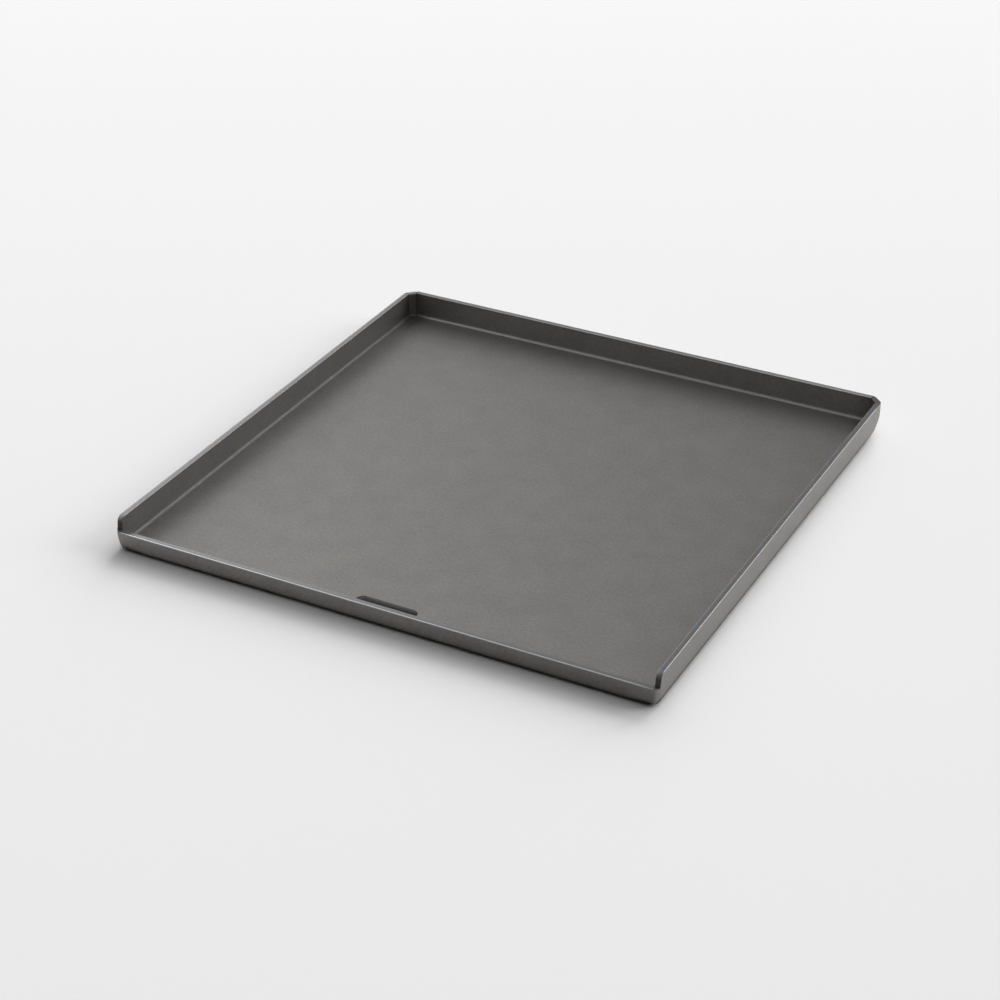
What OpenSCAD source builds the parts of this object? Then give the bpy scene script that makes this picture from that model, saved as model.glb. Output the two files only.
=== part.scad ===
// Camp griddle plate: a shallow square tray folded from one steel sheet, with a low front lip,
// a lifting slot behind it, welded-in rear corner plates and ground front corners.
// Millimetres. +Z is up, the front lip faces -Y, the origin is under the middle of the floor.

/* [Tray] */
// Outside width, left to right
tray_w = 340; // [260:1:460]
// Outside depth, front to back
tray_d = 342; // [260:1:460]
// Height of the left, right and back walls
wall_h = 20; // [17:0.5:40]
// Height of the front lip
lip_h = 12; // [9:0.5:15]
// Thickness of the sheet
sheet_t = 3.2; // [2:0.1:4]
// Inside radius of the folds
fold_ri = 2; // [1:0.1:3]

/* [Front corners] */
// Radius of the ground lip corners, seen from above
lip_corner_r = 3.5; // [2:0.1:5]
// Distance of the wall ends behind the front face
wall_end_inset = 2.4; // [1.2:0.1:4]
// Radius of the upper corner of each wall end
wall_end_r = 4; // [2:0.5:5]
// Radius of the weld cove at the foot of each wall end
cove_r = 1; // [0.5:0.1:1.2]

/* [Rear corners] */
// Length by which each rear corner is cut back along both walls
corner_cut = 6; // [4:0.5:12]
// Width of the welded seams beside the corner plates
seam_w = 0.8; // [0.4:0.1:1.2]
// Drop of the back seam welds below the rim
seam_drop = 1.6; // [0.4:0.1:4]

/* [Slot] */
// Length of the slot, end to end
slot_l = 38; // [20:1:80]
// Width of the slot
slot_w = 8; // [5:0.5:12]
// Distance from the front face to the middle of the slot
slot_inset = 15; // [14:0.5:40]

/* [Hidden] */
$fn = 64;
fold_ro = fold_ri + sheet_t;
front_y = -tray_d / 2;
// The rear corners turn by half a right angle, and each seam halves that turn
facet_turn = 45;
seam_turn = facet_turn / 2;
facet_reach = (tray_w / 2 + tray_d / 2 - corner_cut) * cos(facet_turn);
facet_half = corner_cut * sin(facet_turn);
facet_shift = (tray_d - tray_w) / 2 * sin(facet_turn);
// Lengths that reach past the part, for cutting
span = tray_w + tray_d;
over = 1;
sheet_colour = [0.34, 0.335, 0.33];
weld_colour = [0.4, 0.395, 0.39];

// Upright section of one folded side: a flat face at reach from the middle, its foot rounded over
module side_section(reach, radius, base, top) {
    translate([-span, base + radius])
        square([span + reach, top - base - radius]);
    translate([-span, base])
        square([span + reach - radius, radius]);
    translate([reach - radius, base + radius])
        circle(radius);
}

module folded_side(turn, reach, radius, base, top) {
    rotate([0, 0, turn])
        rotate([90, 0, 0])
            linear_extrude(2 * span, center = true)
                side_section(reach, radius, base, top);
}

// Space inside all six sides, moved in by inset: the outside of the sheet or the inside of it
module tray_space(inset, radius, base, top) {
    intersection() {
        folded_side(0, tray_w / 2 - inset, radius, base, top);
        folded_side(180, tray_w / 2 - inset, radius, base, top);
        folded_side(90, tray_d / 2 - inset, radius, base, top);
        folded_side(270, tray_d / 2 - inset, radius, base, top);
        folded_side(facet_turn, facet_reach - inset, radius, base, top);
        folded_side(180 - facet_turn, facet_reach - inset, radius, base, top);
    }
}

// What is ground off a square corner to round it, its point at the origin
module corner_waste(radius) {
    difference() {
        translate([-over, -over])
            square(radius + over);
        translate([radius, radius])
            circle(radius);
    }
}

module ground_lip_corners() {
    for (side = [0, 1])
        mirror([side, 0, 0])
            translate([-tray_w / 2, front_y, -over])
                linear_extrude(wall_h + 2 * over)
                    corner_waste(lip_corner_r);
}

module outer_space() {
    difference() {
        tray_space(0, fold_ro, 0, wall_h);
        ground_lip_corners();
    }
}

module sheet() {
    difference() {
        outer_space();
        tray_space(sheet_t, fold_ri, sheet_t, wall_h + over);
    }
}

// Everything above the lip: in front of the wall ends, between the walls, and their rounded corners
module front_opening() {
    cut_top = wall_h - lip_h + over;
    translate([-span / 2, front_y - over, lip_h])
        cube([span, wall_end_inset + over, cut_top]);
    translate([-tray_w / 2 + sheet_t, front_y - over, lip_h])
        cube([tray_w - 2 * sheet_t, sheet_t + 2 * over, cut_top]);
    translate([-span / 2, front_y + wall_end_inset, wall_h])
        rotate([90, 0, 90])
            linear_extrude(span)
                mirror([0, 1])
                    corner_waste(wall_end_r);
}

module front_corner_zone() {
    translate([-tray_w / 2 - over, front_y - over, -over])
        cube([fold_ro + over, wall_end_inset + over, lip_h + over]);
}

// Upright wedge around a rear right corner plate, its faces moved out by grow
module corner_wedge(grow) {
    point = -facet_half / tan(seam_turn) - grow / sin(seam_turn);
    reach = fold_ro - point;
    rotate([0, 0, facet_turn])
        translate([facet_reach, facet_shift, -over])
            linear_extrude(wall_h + 2 * over)
                translate([point, 0])
                    polygon([[0, 0],
                             [reach, -reach * tan(seam_turn)],
                             [reach, reach * tan(seam_turn)]]);
}

// One half of the rear right corner: 1 beside the back wall, -1 beside the side wall
module corner_half(side) {
    rotate([0, 0, facet_turn])
        translate([0, facet_shift - (side > 0 ? 0 : span), -over])
            cube([span, span, wall_h + 2 * over]);
}

module slot() {
    straight = slot_l - slot_w;
    translate([0, front_y + slot_inset, -over])
        linear_extrude(sheet_t + 2 * over) {
            square([straight, slot_w], center = true);
            for (end = [-1, 1])
                translate([end * straight / 2, 0])
                    circle(slot_w / 2);
        }
}

module griddle_pan() {
    color(sheet_colour)
        difference() {
            sheet();
            front_opening();
            for (side = [0, 1])
                mirror([side, 0, 0]) {
                    front_corner_zone();
                    corner_wedge(seam_w / 2);
                }
            slot();
        }
}

module rear_right_corner_plate() {
    color(sheet_colour)
        intersection() {
            sheet();
            corner_wedge(-seam_w / 2);
        }
}

// Section of a seam weld in its upright plane, measured from the outer ridge, and flush with the
// cut edges of the sheet on both sides of the seam
module weld_section(top) {
    outer = -seam_w / 2 * tan(seam_turn);
    inner = outer - sheet_t / cos(seam_turn);
    difference() {
        side_section(outer, fold_ro, 0, top);
        side_section(inner, fold_ri, sheet_t, top + over);
    }
}

module seam_weld(ridge, turn, top) {
    translate(ridge)
        rotate([0, 0, turn])
            rotate([90, 0, 0])
                linear_extrude(seam_w, center = true)
                    weld_section(top);
}

module rear_right_side_seam_weld() {
    color(weld_colour)
        intersection() {
            seam_weld([tray_w / 2, tray_d / 2 - corner_cut, 0], seam_turn, wall_h);
            corner_half(-1);
        }
}

module rear_right_back_seam_weld() {
    color(weld_colour)
        intersection() {
            seam_weld([tray_w / 2 - corner_cut, tray_d / 2, 0], 90 - seam_turn, wall_h - seam_drop);
            corner_half(1);
        }
}

module rear_left_corner_plate() {
    mirror([1, 0, 0])
        rear_right_corner_plate();
}

module rear_left_side_seam_weld() {
    mirror([1, 0, 0])
        rear_right_side_seam_weld();
}

module rear_left_back_seam_weld() {
    mirror([1, 0, 0])
        rear_right_back_seam_weld();
}

// Weld metal that fills the front corner, with a cove up the end of the wall
module front_left_corner_weld() {
    color(weld_colour)
        intersection() {
            sheet();
            union() {
                front_corner_zone();
                translate([-tray_w / 2 - over, front_y + wall_end_inset, lip_h])
                    rotate([90, 0, 90])
                        linear_extrude(sheet_t + over)
                            mirror([1, 0])
                                difference() {
                                    square(cove_r);
                                    translate([cove_r, cove_r])
                                        circle(cove_r);
                                }
            }
        }
}

module front_right_corner_weld() {
    mirror([1, 0, 0])
        front_left_corner_weld();
}

griddle_pan();
rear_left_corner_plate();
rear_right_corner_plate();
rear_left_side_seam_weld();
rear_left_back_seam_weld();
rear_right_side_seam_weld();
rear_right_back_seam_weld();
front_left_corner_weld();
front_right_corner_weld();
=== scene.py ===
"""Looks of the camp griddle plate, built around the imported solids.

The tray is worked out from section lines: upright cuts through the sheet, set side by side along a wall.
A cut runs from the floor out through the fold, up the inside, over the rim, down the outside and back
under the floor, so each wall is one grid of (place along the wall, place along the cut).
"""

import logging
import math
from dataclasses import dataclass
from enum import Enum

import bpy
import numpy as np
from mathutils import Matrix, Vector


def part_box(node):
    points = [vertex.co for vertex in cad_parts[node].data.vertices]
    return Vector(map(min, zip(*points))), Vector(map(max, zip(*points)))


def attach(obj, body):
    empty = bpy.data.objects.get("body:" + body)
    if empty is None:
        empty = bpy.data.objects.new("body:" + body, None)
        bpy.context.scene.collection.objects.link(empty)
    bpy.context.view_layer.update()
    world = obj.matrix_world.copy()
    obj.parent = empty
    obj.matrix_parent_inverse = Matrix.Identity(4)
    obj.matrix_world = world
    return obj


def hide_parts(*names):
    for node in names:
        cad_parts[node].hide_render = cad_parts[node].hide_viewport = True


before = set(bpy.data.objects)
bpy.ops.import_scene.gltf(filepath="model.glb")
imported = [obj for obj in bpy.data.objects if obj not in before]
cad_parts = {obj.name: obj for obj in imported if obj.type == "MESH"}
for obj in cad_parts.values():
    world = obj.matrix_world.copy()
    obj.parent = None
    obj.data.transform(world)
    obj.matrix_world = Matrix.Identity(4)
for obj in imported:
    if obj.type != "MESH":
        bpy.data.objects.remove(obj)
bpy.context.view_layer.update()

BODY = "root"
MM = 0.001
UP = np.array([0.0, 0.0, 1.0])
# Wear up to this is smooth metal, and from here to one it is rubbed bright and a painted highlight.
SMOOTH_WEAR = 0.5
# Soot and painted shade up to this only darken, and from here to one they also turn matte.
THICK_SOOT_AND_SHADE = 0.5
# Painted shade on the lip's face, and how far the painted contact shadow reaches up the fold of a side wall.
LIP_FACE_SHADE = 0.25
WALL_RISE = 5.1
LOG = logging.getLogger("griddle")
Array = np.ndarray
Colour = tuple[float, float, float]


class Hand(Enum):
    """Which half of the tray a piece is on, as the sign of X."""

    LEFT = -1.0
    RIGHT = 1.0

    @property
    def word(self) -> str:
        """Name of the half in piece names."""
        return self.name.lower()


class Seam(Enum):
    """Which edge of a rear corner plate a weld joins."""

    SIDE = "side"
    BACK = "back"


class CutPart(Enum):
    """Parts of an upright cut through the sheet that are marked on their own."""

    INSIDE = "inside"
    RIM = "rim"
    OUTSIDE = "outside"
    FOOT = "foot"


class Slot(Enum):
    """Material slots of the record."""

    SHEET = "griddle_steel"
    WELD = "weld_steel"


# Small array helpers


def mix(a: Array, b: Array, share: Array | float) -> Array:
    """Straight blend from a to b."""
    return a + (b - a) * share


def stacked(*axes: Array | float) -> Array:
    """Points from their coordinates, each of them an array or one number."""
    return np.stack(np.broadcast_arrays(*axes), axis=-1)


def lift(plan: Array, height: Array | float) -> Array:
    """Plan points with a height added as the third coordinate."""
    tall = np.broadcast_to(np.asarray(height, float), plan.shape[:-1])
    return np.concatenate([plan, tall[..., None]], axis=-1)


def unit(vectors: Array) -> Array:
    """Vectors scaled to length one along their last axis."""
    return vectors / np.linalg.norm(vectors, axis=-1, keepdims=True)


def near(distance: Array, reach: float) -> Array:
    """Smooth share: one at no distance, falling to zero at the reach."""
    share = np.clip(1 - distance / reach, 0.0, 1.0)
    return share * share * (3 - 2 * share)


def grid_faces(rows: int, columns: int, start: int = 0) -> Array:
    """Quads of a grid of points, stored row by row.

    Args:
        rows: Points along the first parameter.
        columns: Points along the second parameter.
        start: Index of the grid's first point.

    Returns:
        Corner indices, one row of four per quad, wound so that (second x first) points out.
    """
    index = np.arange(rows * columns).reshape(rows, columns) + start
    corners = [index[:-1, :-1], index[:-1, 1:], index[1:, 1:], index[1:, :-1]]
    return np.stack([c.ravel() for c in corners], axis=1)


# Sizes


@dataclass(frozen=True)
class TraySizes:
    """Sizes of the tray in metres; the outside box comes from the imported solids."""

    width: float
    depth: float
    wall_top: float
    lip_top: float = 12.0 * MM
    sheet: float = 3.2 * MM
    fold_inner: float = 2.0 * MM
    corner_cut: float = 6.0 * MM
    seam: float = 0.8 * MM
    end_inset: float = 2.4 * MM
    end_radius: float = 4.0 * MM
    end_lean: float = math.radians(9.3)
    cove: float = 1.0 * MM
    edge: float = 0.3 * MM
    worn_band: float = 0.7 * MM
    slot_length: float = 38.0 * MM
    slot_width: float = 8.0 * MM
    slot_inset: float = 15.0 * MM
    slot_edge: float = 0.3 * MM
    floor_inset: float = 7.5 * MM
    lip_foot: float = 3.6 * MM
    lip_blend: float = 14.0 * MM
    left_round: float = 8.2 * MM
    right_round: float = 5.6 * MM
    rear_round: float = 32.0 * MM
    rear_top_round: float = 8.0 * MM
    round_height: float = 13.0 * MM
    round_power: float = 2.7
    seam_turn: float = math.radians(22.5)

    @classmethod
    def from_frame(cls) -> "TraySizes":
        """Sizes with the width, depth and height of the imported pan."""
        low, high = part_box("griddle_pan")
        return cls(high.x - low.x, high.y - low.y, high.z - low.z)

    @property
    def fold_outer(self) -> float:
        """Outside radius of the folds."""
        return self.fold_inner + self.sheet

    @property
    def front(self) -> float:
        """Y of the front face."""
        return -self.depth / 2

    @property
    def apex_inset(self) -> float:
        """Inset of the point where the two seams of a rear corner meet, from each wall."""
        return self.corner_cut / (1 - math.tan(self.seam_turn))

    @property
    def seam_shift(self) -> float:
        """Distance along the rear diagonal by which half a seam moves that point."""
        return self.seam / 2 / math.sin(self.seam_turn)

    @property
    def seam_inset(self) -> float:
        """How much that distance adds to the point's inset from each wall."""
        return self.seam_shift * math.cos(2 * self.seam_turn)

    @property
    def root_inset(self) -> float:
        """Inset of the pan's own cut point, which is also the inset of the flat floor grid."""
        return self.apex_inset + self.seam_inset

    @property
    def cut_back(self) -> float:
        """Distance along a wall from a ridge of the rear corner to the edge of the seam."""
        return self.seam / 2 / math.cos(self.seam_turn)

    @property
    def inner_corner(self) -> Array:
        """Plan point where the inside of the left wall meets the inside of the lip."""
        return np.array([-self.width / 2, self.front]) + self.sheet

    @property
    def end_y(self) -> float:
        """Y of the foot of the wall ends."""
        return self.front + self.end_inset

    @property
    def end_foot(self) -> float:
        """Height of the foot of the wall ends, where the weld cove starts."""
        return self.lip_top + self.cove

    def ground(self, points: Array) -> Array:
        """Points of the outside, ground round at the four corners.

        In plan each corner is an arc of radius r, and whatever is outside it moves straight towards its
        centre, onto it. Down to the rounding height r is the sheet's thickness at the front and the rear top
        rounding at the back; from there it grows to the corner's own rounding at the floor, with a power of
        the share of the height.

        Args:
            points: Points of the outside, with xyz along the last axis.

        Returns:
            The moved points.
        """
        plan = points[..., :2]
        front = plan[..., 1] < 0
        top = np.where(front, self.sheet, self.rear_top_round)
        low = np.where(front, np.where(plan[..., 0] < 0, self.left_round, self.right_round), self.rear_round)
        share = np.clip(1 - points[..., 2] / self.round_height, 0.0, 1.0) ** self.round_power
        radius = mix(top, low, share)[..., None]
        centre = np.array([self.width, self.depth]) / 2 - radius
        arm = np.abs(plan) - centre
        length = np.linalg.norm(arm, axis=-1, keepdims=True)
        outside = (arm.min(axis=-1, keepdims=True) > 0) & (length > radius)
        arm = np.where(outside, arm * radius / np.maximum(length, radius), arm)
        return lift(np.sign(plan) * (centre + arm), points[..., 2])

    def rear_point(self, inset: float) -> Array:
        """Plan point on the rear left diagonal at an inset from both walls."""
        return np.array([-self.width / 2 + inset, self.depth / 2 - inset])


# Section lines and the surfaces made from them


@dataclass(frozen=True)
class SectionLines:
    """A row of upright cuts through the sheet, one per place along a wall.

    face, inner, fold and root are the plan points of each cut at the outside face, at the inside face,
    at the end of the fold and on the flat floor. rim_in and rim_out are the sharp corners of the rim, and
    rim_up is the rim's own normal. foot is the outside radius of the fold, and step is a height between
    the fold and the rim.
    """

    face: Array
    inner: Array
    fold: Array
    root: Array
    rim_in: Array
    rim_out: Array
    rim_up: Array
    foot: Array
    step: float

    @property
    def arrays(self) -> tuple[Array, ...]:
        """Everything that has one entry per cut."""
        return self.face, self.inner, self.fold, self.root, self.rim_in, self.rim_out, self.rim_up, self.foot

    @classmethod
    def straight(cls, sizes: TraySizes, face: Array, root: Array, depth: Array | float,
                 top: Array | float) -> "SectionLines":
        """Cuts that run straight in plan from the outside face to the floor.

        Args:
            sizes: Sizes of the tray.
            face: Plan points on the outside face.
            root: Plan points on the floor.
            depth: Inset of the root from the face, square to it.
            top: Height of the rim.

        Returns:
            The cuts, with the inside and the fold at their own share of the depth.
        """
        reach = np.broadcast_to(np.asarray(depth, float), face.shape[:1])[:, None]
        inner = mix(face, root, sizes.sheet / reach)
        fold = mix(face, root, sizes.fold_outer / reach)
        rim_up = np.broadcast_to(UP, (len(face), 3))
        foot = np.full(len(face), sizes.fold_outer)
        return cls(face, inner, fold, root, lift(inner, top), lift(face, top), rim_up, foot, sizes.end_foot)

    def mirrored(self) -> "SectionLines":
        """Mirror the cuts.

        Returns:
            The same cuts on the other half of the tray, still running the same way round.
        """
        flip = np.array([-1.0, 1.0, 1.0])
        *points, foot = (rows[::-1] for rows in self.arrays)
        points = [rows * flip[:rows.shape[1]] for rows in points]
        return SectionLines(*points, foot, self.step)

    def followed_by(self, other: "SectionLines") -> "SectionLines":
        """These cuts with another row's cuts after them."""
        return SectionLines(*[np.concatenate(pair) for pair in zip(self.arrays, other.arrays)], self.step)


@dataclass(frozen=True)
class CutProfile:
    """How many points each stretch of a cut gets, and how darkening fades round its fold.

    The fade is a straight ramp from column to column that falls by fold_fall from the floor to the end of
    the fold. face_rise is its height at the floor for the darkening of an outside face. band_limit is the
    most of the wall above the step that the worn band below an edge takes up, and rim_share is how far
    across the rim each face's last point lies.
    """

    fold_tail: int = 3
    fold_head: int = 9
    wall_steps: int = 4
    edge_steps: int = 4
    fold_fall: float = 4.6
    face_rise: float = 3.4
    band_limit: float = 0.5
    rim_share: float = 1 / 3

    @property
    def fold_steps(self) -> int:
        """Steps round a whole fold."""
        return self.fold_tail + self.fold_head

    @property
    def half(self) -> int:
        """Points on one face of the sheet, from the floor to the middle of the rim."""
        return 1 + self.fold_steps + 1 + self.wall_steps + 1 + self.edge_steps + 1 + 1

    @property
    def fold_end(self) -> int:
        """Column at which the inside of the fold turns into the wall."""
        return 1 + self.fold_steps

    @property
    def step_column(self) -> int:
        """Column of the step on the inside."""
        return self.fold_end + self.wall_steps

    @property
    def rim_columns(self) -> int:
        """Points of one face that belong to the rim, counted from its middle."""
        return self.edge_steps + 2

    @property
    def columns(self) -> int:
        """Points on a whole cut."""
        return 2 * self.half


PROFILE = CutProfile()


def foot_angles(sizes: TraySizes, foot: Array) -> Array:
    """Angles round the outside of a fold, from a right angle under the floor to zero at the wall.

    One of the points is exactly under the inside face, so that a front corner weld can end there.

    Args:
        sizes: Sizes of the tray.
        foot: Outside radius of the fold, one per cut.

    Returns:
        Angles in an array of (cut, place round the fold).
    """
    under = np.arccos(1 - sizes.sheet / foot)[:, None]
    tail = np.linspace(0.0, 1.0, PROFILE.fold_tail + 1)
    head = np.linspace(1.0, 0.0, PROFILE.fold_head + 1)
    return np.concatenate([mix(math.pi / 2, under, tail), under * head[1:]], axis=1)


def face_columns(sizes: TraySizes, lines: SectionLines, outside: bool) -> Array:
    """One face of the sheet along every cut, from the floor to the middle of the rim.

    The fold is a quarter circle: at angle a its inset is r (1 - cos a) and its height r (1 - sin a). The
    rim's edge is a quarter circle of the edge radius between the face and the rim's own normal.

    Args:
        sizes: Sizes of the tray.
        lines: The cuts.
        outside: True for the outside face and the underside.

    Returns:
        Points in an array of (cut, place along the cut, xyz).
    """
    even = np.linspace(math.pi / 2, 0.0, PROFILE.fold_steps + 1)
    angles = foot_angles(sizes, lines.foot) if outside else np.tile(even, (len(lines.foot), 1))
    radius = lines.foot[:, None] if outside else sizes.fold_inner
    floor = 0.0 if outside else sizes.sheet
    inset = floor + radius * (1 - np.cos(angles))
    tail = np.clip((inset - sizes.sheet) / sizes.fold_inner, 0.0, 1.0)[..., None]
    head = np.clip(1 - inset / sizes.sheet, 0.0, 1.0)[..., None]
    plan = mix(lines.inner[:, None], lines.fold[:, None], tail)
    plan = plan + (lines.face - lines.inner)[:, None] * head
    fold = lift(plan, floor + radius * (1 - np.sin(angles)))
    root = lift(lines.root, floor)[:, None]

    wall = lines.face if outside else lines.inner
    rim = lines.rim_out if outside else lines.rim_in
    far = lines.rim_in if outside else lines.rim_out
    across = unit(far - rim)
    edge_start = rim - sizes.edge * lines.rim_up
    step = lift(wall, lines.step)
    climb = np.linspace(0.0, 1.0, PROFILE.wall_steps + 1)[None, 1:, None]
    climb = mix(fold[:, -1:], step[:, None], climb)
    run = np.linalg.norm(edge_start - step, axis=1, keepdims=True)
    band = mix(edge_start, step, np.minimum(sizes.worn_band / run, PROFILE.band_limit))
    turn = np.linspace(0.0, math.pi / 2, PROFILE.edge_steps + 1)[None, :, None]
    centre = (edge_start + sizes.edge * across)[:, None]
    edge = centre - sizes.edge * np.cos(turn) * across[:, None]
    edge = edge + sizes.edge * np.sin(turn) * lines.rim_up[:, None]
    middle = mix(rim, far, PROFILE.rim_share)
    return np.concatenate([root, fold, climb, band[:, None], edge, middle[:, None]], axis=1)


def rim_wear_and_highlight(inner: Array | float, outer: Array | float) -> Array:
    """Rubbing and painted highlight along each cut: a half on the rim, and up to one round its edges.

    Args:
        inner: How far the inner edge is rubbed bright with a painted highlight, one share per cut.
        outer: The same for the outer edge.

    Returns:
        Rubbing and painted highlight in an array of (cut, place along the cut).
    """
    rim = np.zeros(PROFILE.half)
    rim[-PROFILE.rim_columns:] = SMOOTH_WEAR
    edge = np.zeros(PROFILE.half)
    edge[1 - PROFILE.rim_columns:-2] = 1 - SMOOTH_WEAR
    inside, outside = np.broadcast_arrays(np.atleast_1d(inner), np.atleast_1d(outer))
    faces = [rim + edge * share[:, None] for share in (inside, outside)]
    return np.concatenate([faces[0], faces[1][:, ::-1]], axis=1)


def fold_ramp(rise: Array | float) -> Array:
    """Ramp round the outside of a fold, held between zero and one.

    Args:
        rise: Height of the ramp at the floor, before it is held.

    Returns:
        One share per column from the floor to the end of the fold, before the axes of the rise.
    """
    return np.clip(np.linspace(rise, rise - PROFILE.fold_fall, PROFILE.fold_end + 1), 0.0, 1.0)


def foot_share(rise: Array | float) -> Array:
    """Painted contact shadow round a fold's outside: the ramp squared, one at the floor, then fading."""
    return fold_ramp(rise) ** 2


def part_columns(part: CutPart, rise: float = 0.0) -> Array:
    """One along a part of a cut and zero elsewhere, with the outside fading into the foot.

    Args:
        part: The part of the cut.
        rise: How far the foot reaches up the fold; the other parts don't need it.

    Returns:
        One share per column of a whole cut.
    """
    half = np.zeros(PROFILE.half)
    blank = np.zeros(PROFILE.half)
    fold = slice(0, PROFILE.fold_end + 1)
    if part is CutPart.RIM:
        half[-PROFILE.rim_columns:] = 1.0
        return np.concatenate([half, half[::-1]])
    if part is CutPart.FOOT:
        half[fold] = foot_share(rise)
        return np.concatenate([blank, half[::-1]])
    half[:-PROFILE.rim_columns] = 1.0
    if part is CutPart.INSIDE:
        return np.concatenate([half, blank])
    half[fold] = 1 - fold_ramp(PROFILE.face_rise)
    return np.concatenate([blank, half[::-1]])


def lip_shade(side: Array | float, middle: float = 0.975, slope: float = 1.25) -> Array | float:
    """Share of the lip's painted shade at a place, a share of the width from the middle, growing right."""
    return middle + slope * side


def wall_grid(sizes: TraySizes, lines: SectionLines) -> Array:
    """Make whole cuts: the inside face up to the rim, then the outside face down from it, ground round.

    Args:
        sizes: Sizes of the tray.
        lines: The cuts.

    Returns:
        Points in an array of (cut, place along the cut, xyz).
    """
    inside = face_columns(sizes, lines, outside=False)
    outside = sizes.ground(face_columns(sizes, lines, outside=True))
    return np.concatenate([inside, outside[:, ::-1]], axis=1)


class MeshStore:
    """Collects grids and flat faces, joins the points that coincide and makes one mesh.

    Points coincide when they are in the same cell of a lattice WELD apart, which is shifted so that the
    tray's own round sizes stay away from the cells' borders.
    """

    WELD = 2e-6
    SHIFT = 0.3137

    def __init__(self) -> None:
        """Start with no points and no faces."""
        self.points: list[Array] = []
        self.wear_and_highlight: list[Array] = []
        self.soot_and_shade: list[Array] = []
        self.joinable: list[Array] = []
        self.quads: list[Array] = []
        self.loops: list[Array] = []
        self.count = 0

    def add_grid(self, grid: Array, wear_and_highlight: Array | float = 0.0, joinable: Array | bool = True,
                 keep: Array | None = None, flip: bool = False, soot_and_shade: Array | float = 0.0) -> Array:
        """Add a grid of points with its quads.

        Args:
            grid: Points in an array of (row, column, xyz).
            wear_and_highlight: Rubbing and painted highlight at each point: a half is smooth, one is bright.
            joinable: Where points may be joined to coinciding ones.
            keep: Which quads to make, one flag per cell; all of them if none are given.
            flip: True to turn the faces round.
            soot_and_shade: Sooty darkening and painted shade at each point.

        Returns:
            The index of each point, in the grid's shape.
        """
        rows, columns = grid.shape[:2]
        faces = grid_faces(rows, columns, self.count)
        faces = faces if keep is None else faces[keep.ravel()]
        self.quads.append(faces[:, ::-1] if flip else faces)
        index = np.arange(rows * columns).reshape(rows, columns) + self.count
        self.points.append(grid.reshape(-1, 3))
        self.wear_and_highlight.append(np.broadcast_to(wear_and_highlight, (rows, columns)).ravel())
        self.soot_and_shade.append(np.broadcast_to(soot_and_shade, (rows, columns)).ravel())
        self.joinable.append(np.broadcast_to(joinable, (rows, columns)).ravel())
        self.count += rows * columns
        return index

    def add_loop(self, loop: Array) -> None:
        """Add one flat face through points that are already there."""
        self.loops.append(np.asarray(loop))

    def add_cap(self, line: Array, first: bool) -> None:
        """Close the cut end of a wall with a strip of quads across the sheet.

        Args:
            line: Indices of one whole cut.
            first: True at the start of the wall, where the strip faces backwards.
        """
        half = len(line) // 2
        inside, outside = line[:half], line[::-1][:half]
        strip = np.stack([inside[:-1], inside[1:], outside[1:], outside[:-1]], axis=1)
        self.quads.append(strip[:, ::-1] if first else strip)

    def joined(self) -> tuple[Array, list[list[int]]]:
        """Join the points that coincide, and leave out unused points and quads that have no area.

        Returns:
            Which of the collected points are kept, and the faces as numbers of kept points.
        """
        points = np.concatenate(self.points)
        cell = np.floor(points / self.WELD + self.SHIFT).astype(np.int64)
        alone = np.where(np.concatenate(self.joinable), 0, np.arange(len(points)) + 1)
        _, first, back = np.unique(np.column_stack([cell, alone]), axis=0, return_index=True,
                                   return_inverse=True)
        back = back.ravel()
        quads = back[np.concatenate(self.quads)]
        loops = [back[loop] for loop in self.loops]
        used = np.zeros(len(first), bool)
        used[np.concatenate([quads.ravel(), *loops])] = True
        number = np.cumsum(used) - 1
        quads = number[quads]
        loops = [number[loop[loop != np.roll(loop, -1)]].tolist() for loop in loops]
        same = quads == np.roll(quads, -1, axis=1)
        whole = quads[same.sum(axis=1) == 0]
        narrow = same.sum(axis=1) == 1
        triangles = quads[narrow][~same[narrow]].reshape(-1, 3)
        return first[used], whole.tolist() + triangles.tolist() + loops

    def build(self, name: str, material: bpy.types.Material, sharp: float = 40.0) -> bpy.types.Object:
        """Make the object.

        Args:
            name: Name of the piece.
            material: Its finish.
            sharp: Angle in degrees above which an edge stays sharp.

        Returns:
            The new object, linked into the scene.
        """
        kept, faces = self.joined()
        mesh = bpy.data.meshes.new(name)
        mesh.from_pydata(np.concatenate(self.points)[kept], [], faces)
        for title, parts in (("wear_and_highlight", self.wear_and_highlight), ("soot_and_shade", self.soot_and_shade)):
            mark = mesh.attributes.new(title, "FLOAT", "POINT")
            mark.data.foreach_set("value", np.concatenate(parts)[kept].astype(np.float32))
        mesh.shade_smooth()
        mesh.set_sharp_from_angle(angle=math.radians(sharp))
        mesh.materials.append(material)
        piece = bpy.data.objects.new(name, mesh)
        bpy.context.scene.collection.objects.link(piece)
        return piece


def dress(piece: bpy.types.Object, node: str) -> bpy.types.Object:
    """Make a piece ride with the tray and stand for its solid.

    Args:
        piece: The new piece.
        node: The solid that it stands for.

    Returns:
        The same piece.
    """
    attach(piece, BODY)
    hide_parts(node)
    LOG.info("%s stands for %s: %d faces", piece.name, node, len(piece.data.polygons))
    return piece


# Finishes


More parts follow.
